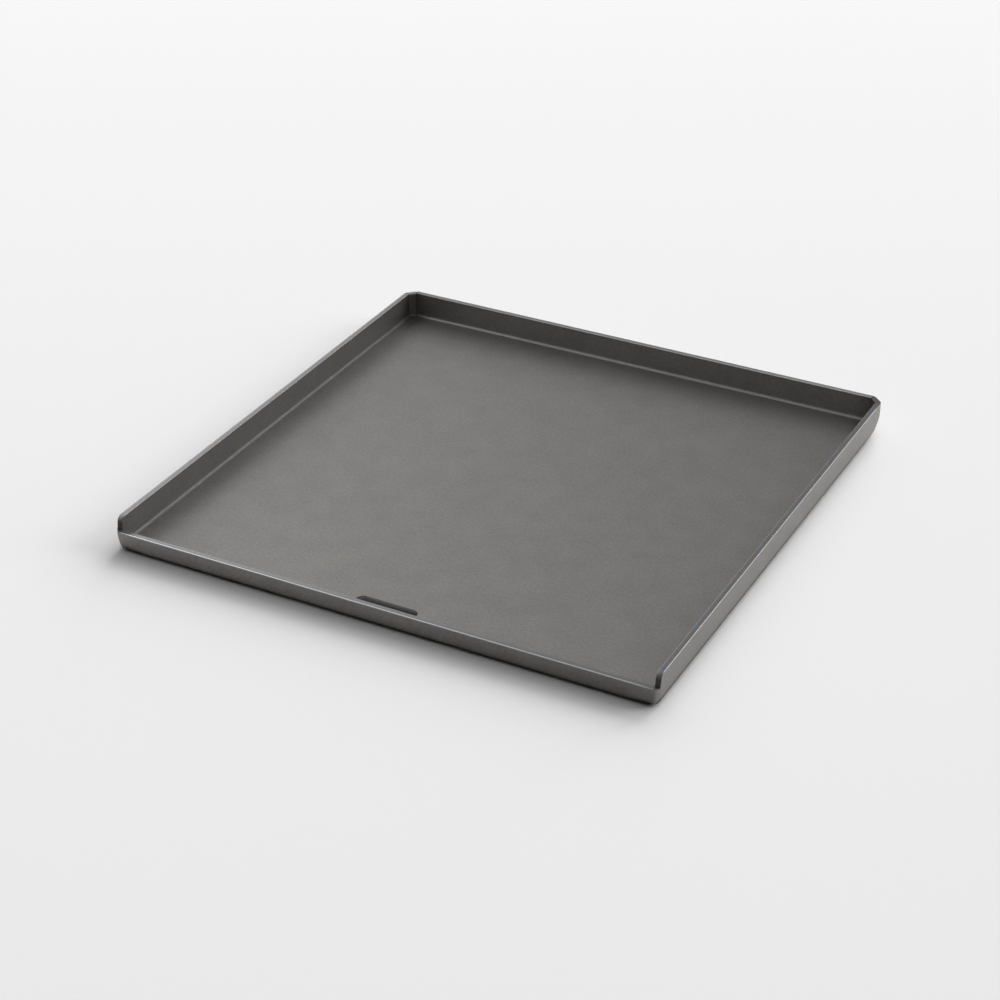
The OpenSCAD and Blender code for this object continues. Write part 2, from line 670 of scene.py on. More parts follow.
class NodeTree:
    """Short calls for making shader nodes."""

    def __init__(self, tree: bpy.types.NodeTree) -> None:
        """Clear a node tree and keep it."""
        self.tree = tree
        tree.nodes.clear()

    def add(self, kind: str, **settings: object) -> bpy.types.Node:
        """Add a node.

        Args:
            kind: The node's type.
            settings: Its properties by name.

        Returns:
            The node.
        """
        node = self.tree.nodes.new(kind)
        for name, value in settings.items():
            setattr(node, name, value)
        return node

    def join(self, source: bpy.types.NodeSocket, target: bpy.types.NodeSocket) -> None:
        """Link two sockets."""
        self.tree.links.new(source, target)

    def noise(self, place: bpy.types.NodeSocket, scale: float, detail: float) -> bpy.types.NodeSocket:
        """Add a noise texture.

        Args:
            place: Where the noise is read.
            scale: Its cells per metre.
            detail: How many finer layers it has.

        Returns:
            The noise, from zero to one.
        """
        node = self.add("ShaderNodeTexNoise")
        node.inputs["Scale"].default_value = scale
        node.inputs["Detail"].default_value = detail
        self.join(place, node.inputs["Vector"])
        return node.outputs["Fac"]

    def span(self, value: bpy.types.NodeSocket, low: float, high: float, start: float = 0.0,
             stop: float = 1.0, smooth: bool = False) -> bpy.types.NodeSocket:
        """Move a value from one range to another, held at both ends.

        Args:
            value: The value.
            low: Result at the start of its range.
            high: Result at the end of its range.
            start: Start of its range.
            stop: End of its range.
            smooth: True to ease in and out.

        Returns:
            The moved value.
        """
        node = self.add("ShaderNodeMapRange", clamp=True,
                        interpolation_type="SMOOTHSTEP" if smooth else "LINEAR")
        self.join(value, node.inputs["Value"])
        for name, number in (("From Min", start), ("From Max", stop), ("To Min", low), ("To Max", high)):
            node.inputs[name].default_value = number
        return node.outputs["Result"]

    def blend(self, share: bpy.types.NodeSocket | float, a: bpy.types.NodeSocket | Colour,
              b: bpy.types.NodeSocket | Colour, mode: str = "MIX") -> bpy.types.NodeSocket:
        """Mix two colours.

        Args:
            share: How much of the second colour is taken.
            a: The first colour, a socket or a plain colour.
            b: The second one.
            mode: How they are mixed.

        Returns:
            The mixed colour.
        """
        node = self.add("ShaderNodeMix", data_type="RGBA", blend_type=mode)
        if isinstance(share, bpy.types.NodeSocket):
            self.join(share, node.inputs["Factor"])
        else:
            node.inputs["Factor"].default_value = share
        for socket, colour in zip([s for s in node.inputs if s.type == "RGBA"], (a, b)):
            if isinstance(colour, bpy.types.NodeSocket):
                self.join(colour, socket)
            else:
                socket.default_value = (*colour, 1.0)
        return [s for s in node.outputs if s.type == "RGBA"][0]


@dataclass(frozen=True)
class SteelFinish:
    """Dark oxide steel with a fine even grain, edges rubbed bright and painted highlights."""

    name: str
    dark: Colour
    light: Colour
    # smooth is rubbed metal; bright is rubbed edges and painted highlights.
    smooth: Colour
    bright: Colour
    metallic: float = 0.8
    specular: float = 0.5
    roughness: float = 0.43
    worn_roughness: float = 0.23
    # Colour and roughness of soot and painted shade.
    soot_and_shade_colour: Colour = (0.05, 0.048, 0.047)
    soot_and_shade_roughness: float = 0.85
    grain_scale: float = 600.0
    grain_detail: float = 3.0
    grain_span: tuple[float, float] = (0.36, 0.64)
    patch_scale: float = 60.0
    patch_detail: float = 4.0
    patch_span: tuple[float, float] = (0.3, 0.7)
    patch_dark: Colour = (0.91, 0.91, 0.92)
    patch_light: Colour = (1.0, 1.0, 0.99)
    bump_height: float = 0.04 * MM
    bump_strength: float = 0.4

    def build(self) -> bpy.types.Material:
        """Make the material.

        Returns:
            Grain and patches in the colour, a fine bump, smooth metal, rubbed and painted highlights where
            the piece's own wear_and_highlight attribute says, and a dark skin of sooty darkening and painted
            shade where its soot_and_shade attribute does, which is matte where it is thick.
        """
        material = bpy.data.materials.new(self.name)
        material.use_nodes = True
        nodes = NodeTree(material.node_tree)
        place = nodes.add("ShaderNodeTexCoord").outputs["Object"]
        grain = nodes.noise(place, self.grain_scale, self.grain_detail)
        patches = nodes.noise(place, self.patch_scale, self.patch_detail)
        colour = nodes.blend(nodes.span(grain, 0.0, 1.0, *self.grain_span), self.dark, self.light)
        patchy = nodes.span(patches, 0.0, 1.0, *self.patch_span)
        shade = nodes.blend(patchy, self.patch_dark, self.patch_light)
        mottled = nodes.blend(1.0, colour, shade, mode="MULTIPLY")
        # wear_and_highlight is rubbing and painted highlight; soot_and_shade is dark joints, soot and
        # painted shade.
        wear_and_highlight = nodes.add("ShaderNodeAttribute", attribute_name="wear_and_highlight").outputs["Fac"]
        soot_and_shade = nodes.add("ShaderNodeAttribute", attribute_name="soot_and_shade").outputs["Fac"]
        marked_colour = nodes.blend(nodes.span(wear_and_highlight, 0.0, 1.0, stop=SMOOTH_WEAR), mottled, self.smooth)
        marked_colour = nodes.blend(nodes.span(wear_and_highlight, 0.0, 1.0, start=SMOOTH_WEAR), marked_colour, self.bright)
        marked_colour = nodes.blend(soot_and_shade, marked_colour, self.soot_and_shade_colour)
        rough = nodes.add("ShaderNodeMath", operation="MAXIMUM")
        nodes.join(nodes.span(wear_and_highlight, self.roughness, self.worn_roughness, stop=SMOOTH_WEAR), rough.inputs[0])
        nodes.join(nodes.span(soot_and_shade, 0.0, self.soot_and_shade_roughness, start=THICK_SOOT_AND_SHADE), rough.inputs[1])
        bump = nodes.add("ShaderNodeBump")
        bump.inputs["Strength"].default_value = self.bump_strength
        bump.inputs["Distance"].default_value = self.bump_height
        nodes.join(grain, bump.inputs["Height"])
        shader = nodes.add("ShaderNodeBsdfPrincipled")
        for value, name in ((self.metallic, "Metallic"), (self.specular, "Specular IOR Level")):
            nodes.join(nodes.span(soot_and_shade, value, 0.0, start=THICK_SOOT_AND_SHADE), shader.inputs[name])
        nodes.join(marked_colour, shader.inputs["Base Color"])
        nodes.join(rough.outputs["Value"], shader.inputs["Roughness"])
        nodes.join(bump.outputs["Normal"], shader.inputs["Normal"])
        output = nodes.add("ShaderNodeOutputMaterial")
        nodes.join(shader.outputs["BSDF"], output.inputs["Surface"])
        return material


SHEET_STEEL = SteelFinish("sheet_steel", dark=(0.262, 0.254, 0.245), light=(0.308, 0.299, 0.288),
                          smooth=(0.268, 0.27, 0.28), bright=(0.93, 0.94, 0.96))
WELD_STEEL = SteelFinish("weld_steel", dark=(0.235, 0.231, 0.225), light=(0.275, 0.27, 0.262),
                         smooth=(0.255, 0.257, 0.266), bright=(0.7, 0.71, 0.73))


# The folded pan


@dataclass(frozen=True)
class RimRubAndHighlight:
    """How bright a side wall's rim edges are, rubbed and painted highlight, and how dull its rear end is."""

    inner: float
    outer: float
    dull: float


# Painted highlight on the left wall's inner edge and the right wall's outer edge.
RIM_RUBS_AND_HIGHLIGHTS = {Hand.LEFT: RimRubAndHighlight(inner=1.0, outer=0.15, dull=0.0),
            Hand.RIGHT: RimRubAndHighlight(inner=0.1, outer=1.0, dull=1.0)}


@dataclass(frozen=True)
class FoldedPan:
    """The folded sheet: floor with its slot, three walls and the front lip.

    Whole numbers count cells or rows of its grids. A shade is a share of painted shade, a shadow a share of
    painted contact shadow, a darkening a share of darkening, a highlight a share of rubbing and painted
    highlight, a wear a share of rubbing, and a rise how far the painted contact shadow reaches up the
    outside of a fold. lip_inner_fade and lip_outer_fade are the shares of rubbing and highlight that the
    lip's edges lose from left to right, and end_dulling is the share of rubbing and highlight that a side
    wall's rim loses where it turns down or is dull.
    """

    sizes: TraySizes
    floor_columns: int = 80
    floor_rows: int = 79
    end_rows: int = 16
    rear_rows: int = 8
    rear_crowding: float = 1.6
    end_flat: int = 2
    end_arc: int = 10
    slot_cells: int = 6
    slot_rows: int = 2
    slot_rings: int = 4
    fine_front: float = 8.0 * MM
    corner_reach: float = 11.0 * MM
    corner_shade: float = 0.42
    rim_shade: float = 0.33
    rim_highlight: float = 0.17
    back_inner_wear: float = 0.5
    back_outer_wear: float = 0.3
    lip_foot_shadow: float = 0.85
    lip_rise: float = 3.85
    lip_face_shade: float = LIP_FACE_SHADE
    lip_inner_fade: float = 0.8
    lip_outer_fade: float = 0.3
    foot_shadow: float = 0.9
    foot_rise: float = WALL_RISE
    foot_fade: float = 30.0 * MM
    side_darkening: float = 0.15
    end_darkening: float = 0.9
    end_shade: float = 0.2
    end_dulling: float = 0.7
    slot_shade: float = 0.45
    slot_wear: float = 0.4

    @property
    def floor_x(self) -> Array:
        """X of the floor grid's lines, from left to right."""
        reach = self.sizes.width / 2 - self.sizes.root_inset
        return np.linspace(-reach, reach, self.floor_columns + 1)

    def spread(self, reach: float) -> Array:
        """X of the floor grid's lines, with the last two cells at both ends stretched to a reach."""
        x = self.floor_x
        return np.interp(x, [x[0], x[2], -x[2], -x[0]], [-reach, x[2], -x[2], reach])

    @property
    def floor_y(self) -> Array:
        """Y of the floor grid's lines, closer together near the front.

        Returns:
            One Y per line, from the back to the front.
        """
        back = self.sizes.depth / 2 - self.sizes.root_inset
        front = self.sizes.front + self.sizes.floor_inset
        coarse = np.linspace(back, front + self.fine_front, self.floor_rows + 1)
        fine = np.linspace(coarse[-1], front, self.end_rows + 1)
        return np.concatenate([coarse, fine[1:]])

    def wall_end_path(self, start: float) -> tuple[Array, Array, Array]:
        """Rim of a side wall's end, seen from the side: flat, round the upper corner, then down.

        Round the corner at angle a the rim is at y = c - r sin a and z = top - r (1 - cos a); it stops
        short of a right angle by the lean, and goes on straight to the foot.

        Args:
            start: Y at which the wall's even rows stop.

        Returns:
            Y, Z and the angle of the rim's normal from upright, one per row.
        """
        s = self.sizes
        sweep = math.pi / 2 - s.end_lean
        drop = s.wall_top - s.end_radius * (1 - math.cos(sweep)) - s.end_foot
        centre = s.end_y + drop * math.tan(s.end_lean) + s.end_radius * math.sin(sweep)
        flat = np.linspace(start, centre, self.end_flat + 1)[1:]
        angle = np.linspace(0.0, sweep, self.end_arc + 1)[1:]
        last = self.end_rows - self.end_flat - self.end_arc
        down = np.linspace(0.0, 1.0, last + 1)[1:]
        arc_y = centre - s.end_radius * np.sin(angle)
        arc_z = s.wall_top - s.end_radius * (1 - np.cos(angle))
        y = np.concatenate([flat, arc_y, mix(arc_y[-1], s.end_y, down)])
        z = np.concatenate([np.full(len(flat), s.wall_top), arc_z, mix(arc_z[-1], s.end_foot, down)])
        lean = np.concatenate([np.zeros(len(flat)), angle, np.full(last, sweep)])
        return y, z, lean

    def ground_x(self, y: Array) -> Array:
        """Place the left outside face, which is ground round at the front corner.

        At a distance d past the inner corner it is on a circle round that corner, so it is
        sqrt(sheet squared - d squared) to the left of it.

        Args:
            y: Y of points on it.

        Returns:
            Their X.
        """
        corner = self.sizes.inner_corner
        past = np.maximum(corner[1] - y, 0.0)
        return corner[0] - np.sqrt(self.sizes.sheet ** 2 - past ** 2)

    def left_end(self, start: float, roots: Array) -> SectionLines:
        """Cuts of the left wall's front end, where its rim turns down to the weld.

        A cut's face, inside and fold have gone as far towards their own ends at the weld as its rim has.

        Args:
            start: Y at which the wall's even rows stop.
            roots: Y of the floor grid's lines from there to the front.

        Returns:
            The cuts, from the rear to the front.
        """
        s = self.sizes
        corner = s.inner_corner
        y, z, lean = self.wall_end_path(start)
        share = (y - start) / (s.end_y - start)
        face_y = mix(start, s.end_y + s.edge, share)
        inner_y = mix(start, corner[1], share)
        fold_y = mix(start, corner[1] + s.fold_inner, share)
        face = stacked(self.ground_x(face_y), face_y)
        inner = stacked(corner[0], inner_y)
        fold = stacked(corner[0] + s.fold_inner, fold_y)
        root = stacked(s.root_inset - s.width / 2, roots)
        rim_in = stacked(corner[0], y, z)
        rim_out = stacked(self.ground_x(y), y, z)
        rim_up = stacked(0.0, -np.sin(lean), np.cos(lean))
        foot = np.full_like(y, s.fold_outer)
        return SectionLines(face, inner, fold, root, rim_in, rim_out, rim_up, foot, s.end_foot)

    def left_wall(self) -> SectionLines:
        """Cuts of the left wall, crowded towards the rear seam, where the corner is ground round.

        The crowded rows are at a power of their share of the way from the seam.

        Returns:
            The cuts, from the rear seam to the front end.
        """
        s = self.sizes
        even, fine = np.split(self.floor_y, [self.floor_rows + 1])
        seam_y = s.depth / 2 - s.corner_cut - s.cut_back
        last = even[self.rear_rows]
        crowd = np.clip((even[0] - even) / (even[0] - last), 0.0, 1.0) ** self.rear_crowding
        faces = np.where(even < last, even, mix(seam_y, last, crowd))
        face = stacked(-s.width / 2, faces)
        root = stacked(s.root_inset - s.width / 2, even)
        wall = SectionLines.straight(s, face, root, s.root_inset, s.wall_top)
        return wall.followed_by(self.left_end(even[-1], fine))

    def back_wall(self) -> SectionLines:
        """Cuts of the back wall.

        Returns:
            The cuts, from the right seam to the left one.
        """
        s = self.sizes
        roots = self.floor_x[::-1]
        faces = self.spread(s.width / 2 - s.corner_cut - s.cut_back)[::-1]
        face = stacked(faces, s.depth / 2)
        root = stacked(roots, s.depth / 2 - s.root_inset)
        return SectionLines.straight(s, face, root, s.root_inset, s.wall_top)

    def lip(self) -> SectionLines:
        """Cuts of the front lip, whose foot is sharper than the other folds away from its ends.

        The foot's radius goes smoothly from the other folds' at the ends to the lip's own at lip_blend from
        them.

        Returns:
            The cuts, from the left front corner to the right one.
        """
        s = self.sizes
        end = -s.inner_corner[0]
        inside = s.front + s.sheet
        face = stacked(self.spread(end), s.front)
        inner = stacked(self.spread(end), inside)
        fold = stacked(self.spread(end - s.fold_inner), inside + s.fold_inner)
        root = stacked(self.floor_x, s.front + s.floor_inset)
        rim_up = np.broadcast_to(UP, (len(face), 3))
        foot = mix(s.lip_foot, s.fold_outer, near(end - np.abs(face[:, 0]), s.lip_blend))
        step = (s.fold_outer + s.lip_top) / 2
        return SectionLines(face, inner, fold, root, lift(inner, s.lip_top), lift(face, s.lip_top),
                            rim_up, foot, step)

    def slot_outline(self, grow: float, sides: int, ends: int) -> Array:
        """Points round the slot, its two straights and two half circles moved out by grow.

        Args:
            grow: Distance outwards.
            sides: Steps along a straight.
            ends: Steps round a half circle.

        Returns:
            A closed row of plan points, from the front left, with the first one repeated at the end.
        """
        s = self.sizes
        middle = s.front + s.slot_inset
        half = (s.slot_length - s.slot_width) / 2
        radius = s.slot_width / 2 + grow
        along = np.linspace(-half, half, sides + 1)
        turn = np.linspace(-math.pi / 2, math.pi / 2, ends + 1)
        front = stacked(along, -radius)
        right = stacked(half + radius * np.cos(turn), radius * np.sin(turn))
        back = stacked(along[::-1], radius)
        left = stacked(-half - radius * np.cos(turn), -radius * np.sin(turn))
        return np.concatenate([front, right[1:], back[1:], left[1:]]) + [0.0, middle]

    def add_floor(self, store: MeshStore, height: float, flip: bool) -> None:
        """One face of the flat floor, with a block of rings round the slot.

        The block's rings blend straight from the slot's outline to the rectangle of floor lines round it.

        Args:
            store: Where the mesh is collected.
            height: Height of the face.
            flip: True for the underside.
        """
        x, y = self.floor_x, self.floor_y
        plan = stacked(*np.meshgrid(x, y))
        centre = self.floor_columns // 2
        low, high = centre - self.slot_cells, centre + self.slot_cells
        top = self.floor_rows - self.slot_rows
        keep = np.ones((len(y) - 1, len(x) - 1), bool)
        keep[top:, low:high] = False
        store.add_grid(lift(plan, height), keep=keep, flip=not flip)

        bottom = plan[-1, low:high + 1]
        right = plan[top:, high][::-1]
        upper = plan[top, low:high + 1][::-1]
        left = plan[top:, low]
        frame_loop = np.concatenate([bottom, right[1:], upper[1:], left[1:]])
        hole = self.slot_outline(self.sizes.slot_edge, 2 * self.slot_cells, len(right) - 1)
        ring = np.linspace(0.0, 1.0, self.slot_rings + 1)[:, None, None]
        store.add_grid(lift(mix(hole[None], frame_loop[None], ring), height), flip=not flip)

    def add_slot(self, store: MeshStore) -> None:
        """Wall of the slot, with both its edges rounded by a quarter circle.

        Args:
            store: Where the mesh is collected.
        """
        s = self.sizes
        turn = np.linspace(0.0, math.pi / 2, PROFILE.edge_steps + 1)
        out = s.slot_edge * (1 - np.sin(turn))
        down = s.slot_edge * (1 - np.cos(turn))
        grow = np.concatenate([out, out[::-1]])
        height = np.concatenate([s.sheet - down, down[::-1]])
        ends = self.end_rows + self.slot_rows
        rows = np.stack([self.slot_outline(g, 2 * self.slot_cells, ends) for g in grow])
        # The slot's wall gets painted shade.
        store.add_grid(lift(rows, height[:, None]), self.slot_wear, soot_and_shade=self.slot_shade)

    def side_marks(self, lines: SectionLines, hand: Hand) -> tuple[Array, Array]:
        """Marks of a side wall: one edge rubbed with a painted highlight, painted shade and shadow,
        darkening.

        Args:
            lines: The wall's cuts, from the rear to the front.
            hand: Left, where the inner edge is bright, or right, where the outer edge is.

        Returns:
            wear_and_highlight and soot_and_shade in arrays of (cut, place along the cut).
        """
        y = lines.face[:, 1]
        rear = near(y[0] - y, self.corner_reach)
        front = near(y - y[-1], self.fine_front)
        even = self.floor_rows + 1 + self.end_flat
        turned = np.clip(np.arange(1 - even, len(rear) - even + 1) / self.end_arc, 0.0, 1.0)
        rub_and_highlight = RIM_RUBS_AND_HIGHLIGHTS[hand]
        dull = rub_and_highlight.dull * rear
        bright = (1 - dull) * (1 - turned)
        ahead = np.clip(0.5 - y / self.sizes.depth, 0.0, 1.0)
        # Painted shade: rear corner, inside near the front end, dull rim; painted contact shadow: foot.
        shares = {CutPart.INSIDE: self.corner_shade * rear + self.end_shade * front,
                  CutPart.RIM: self.rim_shade * dull + self.end_darkening * turned,
                  CutPart.OUTSIDE: self.side_darkening * ahead,
                  CutPart.FOOT: self.foot_shadow * (1 - near(y[0] - y, self.foot_fade))}
        soot_and_shade = sum(share[:, None] * part_columns(part, self.foot_rise) for part, share in shares.items())
        rough = np.maximum(turned, dull)[:, None]
        return rim_wear_and_highlight(rub_and_highlight.inner * bright, rub_and_highlight.outer * bright) * (1 - self.end_dulling * rough), soot_and_shade

    def back_marks(self, lines: SectionLines) -> tuple[Array, Array]:
        """Back wall: painted shade inside towards both corners; its rim painted darker left and paler right.

        Args:
            lines: The wall's cuts, from the right to the left.

        Returns:
            wear_and_highlight and soot_and_shade in arrays of (cut, place along the cut).
        """
        x = lines.face[:, 0]
        share = x / self.sizes.width + 0.5
        rear = near(x[0] - np.abs(x), self.corner_reach)
        soot_and_shade = (self.corner_shade * rear)[:, None] * part_columns(CutPart.INSIDE)
        soot_and_shade = soot_and_shade + (self.rim_shade * (1 - share))[:, None] * part_columns(CutPart.RIM)
        pale = (self.rim_highlight * share)[:, None] * part_columns(CutPart.RIM)
        return rim_wear_and_highlight(self.back_inner_wear * (1 - rear), self.back_outer_wear * (1 - rear)) + pale, soot_and_shade

    def lip_marks(self, lines: SectionLines) -> tuple[Array, Array]:
        """Lip marks: edge rubbing and painted highlight fade, and painted face shade grows, to the right.

        Args:
            lines: The lip's cuts, from the left to the right.

        Returns:
            wear_and_highlight and soot_and_shade in arrays of (cut, place along the cut).
        """
        x = lines.face[:, 0]
        side = x / self.sizes.width
        share = side + 0.5
        middle = 1 - near(x[-1] - np.abs(x), self.fine_front)
        # Painted shade on the face, growing to the right, and a painted contact shadow at the foot.
        soot_and_shade = (self.lip_face_shade * lip_shade(side))[:, None] * part_columns(CutPart.OUTSIDE)
        soot_and_shade = soot_and_shade + self.lip_foot_shadow * part_columns(CutPart.FOOT, self.lip_rise)
        inner = middle * (1 - self.lip_inner_fade * share)
        outer = middle * (1 - self.lip_outer_fade * share)
        return rim_wear_and_highlight(inner, outer), soot_and_shade

    def add_front_end(self, store: MeshStore, wall: Array, lip: Array, flip: bool) -> None:
        """Close the notch that a front corner weld fills.

        Args:
            store: Where the mesh is collected.
            wall: Indices of the side wall's cut beside it.
            lip: Indices of the lip's cut beside it.
            flip: True at the right corner.
        """
        p = PROFILE
        last = p.columns - 1
        under = last - 1 - p.fold_tail
        stop = last - p.step_column
        foot = np.concatenate([wall[p.fold_end:p.step_column + 1], wall[stop:under + 1]])
        for loop in (foot, wall[p.step_column:stop + 1], lip[p.fold_end:under + 1][::-1]):
            store.add_loop(loop[::-1] if flip else loop)

    def build(self, material: bpy.types.Material) -> bpy.types.Object:
        """Make the folded sheet as one closed mesh.

        Args:
            material: Its finish.

        Returns:
            The piece.
        """
        s = self.sizes
        store = MeshStore()
        left, lip, back = self.left_wall(), self.lip(), self.back_wall()
        turned = [mark[::-1] for mark in self.side_marks(left, Hand.RIGHT)]
        walls = [(left, self.side_marks(left, Hand.LEFT)), (lip, self.lip_marks(lip)),
                 (left.mirrored(), turned), (back, self.back_marks(back))]
        column = np.arange(PROFILE.columns)
        inward = np.minimum(column, PROFILE.columns - 1 - column)
        joinable = (inward <= PROFILE.fold_end)[None, :]
        at_left, at_lip, at_right, at_back = [
            store.add_grid(wall_grid(s, lines), wear_and_highlight, joinable, soot_and_shade=soot_and_shade) for lines, (wear_and_highlight, soot_and_shade) in walls]
        for index in (at_left, at_back):
            store.add_cap(index[0], first=True)
        for index in (at_right, at_back):
            store.add_cap(index[-1], first=False)
        self.add_front_end(store, at_left[-1], at_lip[0], flip=False)
        self.add_front_end(store, at_right[0], at_lip[-1], flip=True)
        self.add_floor(store, s.sheet, flip=False)
        self.add_floor(store, 0.0, flip=True)
        self.add_slot(store)
        return dress(store.build("folded_sheet", material), "griddle_pan")


# Rear corners


@dataclass(frozen=True)
class RearCorner:
    """A corner plate and the two seam welds beside it."""

    sizes: TraySizes
    hand: Hand
    plate_drop: float = 0.1 * MM
    side_drop: float = 0.15 * MM
    back_drop: float = 0.5 * MM
    recess: float = 0.15 * MM
    plate_cuts: int = 8
    # Soot and painted shade inside the plate; painted shade on its fold, the floor ends and the right rim.
    soot_and_shade: float = 0.68
    fold_shade: float = 0.8
    rim_shade: float = 0.35
    floor_shade: float = 0.35
    seam_soot: float = 0.8

    def ridge(self, seam: Seam) -> Array:
        """Find the outside ridge at one seam of the left corner.

        Args:
            seam: The seam.

        Returns:
            Its plan point.
        """
        s = self.sizes
        if seam is Seam.SIDE:
            return np.array([-s.width / 2, s.depth / 2 - s.corner_cut])
        return np.array([-s.width / 2 + s.corner_cut, s.depth / 2])

    def plate_edge(self, seam: Seam) -> Array:
        """Find where a seam begins on the outside of the plate.

        Args:
            seam: The seam.

        Returns:
            Its plan point.
        """
        other = Seam.BACK if seam is Seam.SIDE else Seam.SIDE
        ridge = self.ridge(seam)
        return ridge + unit(self.ridge(other) - ridge) * self.sizes.cut_back

    def wall_edge(self, seam: Seam) -> Array:
        """Plan point on the outside of the wall where a seam begins."""
        along = np.array([0.0, -1.0]) if seam is Seam.SIDE else np.array([1.0, 0.0])
        return self.ridge(seam) + along * self.sizes.cut_back

    def place(self, lines: SectionLines) -> SectionLines:
        """Cuts of the left corner moved to this corner's half."""
        return lines if self.hand is Hand.LEFT else lines.mirrored()

    def solid(self, name: str, node: str, lines: SectionLines, soot_and_shade: Array,
              material: bpy.types.Material) -> bpy.types.Object:
        """Make one piece from its cuts and close both ends.

        Args:
            name: Name of the piece.
            node: The solid that it stands for.
            lines: Its cuts on the left corner.
            soot_and_shade: Its darkening, one share per column; the floor always gets the painted
                floor_shade.
            material: Its finish.

        Returns:
            The piece.
        """
        store = MeshStore()
        grid = wall_grid(self.sizes, self.place(lines))
        marks = soot_and_shade.copy()
        marks[[0, -1]] = self.floor_shade
        index = store.add_grid(grid, rim_wear_and_highlight(0.0, 0.0), soot_and_shade=marks)
        store.add_cap(index[0], first=True)
        store.add_cap(index[-1], first=False)
        if np.ptp(lines.root, axis=0).max() > MeshStore.WELD:
            store.add_loop(np.concatenate([index[:, 0], index[::-1, -1]]))
        return dress(store.build(name, material), node)

    def plate(self, material: bpy.types.Material) -> bpy.types.Object:
        """Make the corner plate, which narrows to a point at the floor's corner.

        Its outside runs straight from seam to seam, and all its cuts meet in that point.

        Args:
            material: Its finish.

        Returns:
            The piece.
        """
        s = self.sizes
        share = np.linspace(0.0, 1.0, self.plate_cuts + 1)[:, None]
        face = mix(self.plate_edge(Seam.BACK)[None], self.plate_edge(Seam.SIDE)[None], share)
        root = np.broadcast_to(s.rear_point(s.apex_inset - s.seam_inset), face.shape)
        lines = SectionLines.straight(s, face, root, s.apex_inset - s.seam_shift,
                                      s.wall_top - self.plate_drop)
        soot_and_shade = self.soot_and_shade * part_columns(CutPart.INSIDE)
        soot_and_shade[:PROFILE.fold_end] = self.fold_shade
        if self.hand is Hand.RIGHT:
            soot_and_shade = soot_and_shade + self.rim_shade * part_columns(CutPart.RIM)
        word = f"rear_{self.hand.word}_corner_plate"
        return self.solid(f"corner_plate_rear_{self.hand.word}", word, lines, soot_and_shade, material)

    def weld(self, seam: Seam, material: bpy.types.Material) -> bpy.types.Object:
        """Make one seam weld, a little below the faces of the sheet, from the wall's edge to the plate's.

        It has three cuts: one at each edge, and one along the seam's middle, which is sunk by the recess.

        Args:
            seam: Its seam.
            material: Its finish.

        Returns:
            The piece.
        """
        s = self.sizes
        ridge = self.ridge(seam)
        apex = s.rear_point(s.apex_inset)
        sunk = ridge + unit(apex - ridge) * (s.cut_back * math.sin(s.seam_turn) + self.recess)
        face = np.stack([self.wall_edge(seam), sunk, self.plate_edge(seam)])
        root = np.stack([s.rear_point(s.root_inset), apex, s.rear_point(s.apex_inset - s.seam_inset)])
        depth = np.array([s.root_inset, s.apex_inset, s.apex_inset - s.seam_shift])
        drop = self.side_drop if seam is Seam.SIDE else self.back_drop
        if seam is Seam.SIDE:
            face, root, depth = face[::-1], root[::-1], depth[::-1]
        lines = SectionLines.straight(s, face, root, depth, s.wall_top - drop)
        word = f"rear_{self.hand.word}_{seam.value}_seam_weld"
        name = f"seam_weld_rear_{self.hand.word}_{seam.value}"
        return self.solid(name, word, lines, np.full(PROFILE.columns, self.seam_soot), material)

    def build(self, sheet: bpy.types.Material, weld: bpy.types.Material) -> None:
        """Make the plate and both welds.

        Args:
            sheet: The plate's finish.
            weld: The welds' finish.
        """
        self.plate(sheet)
        for seam in Seam:
            self.weld(seam, weld)


# Front corners


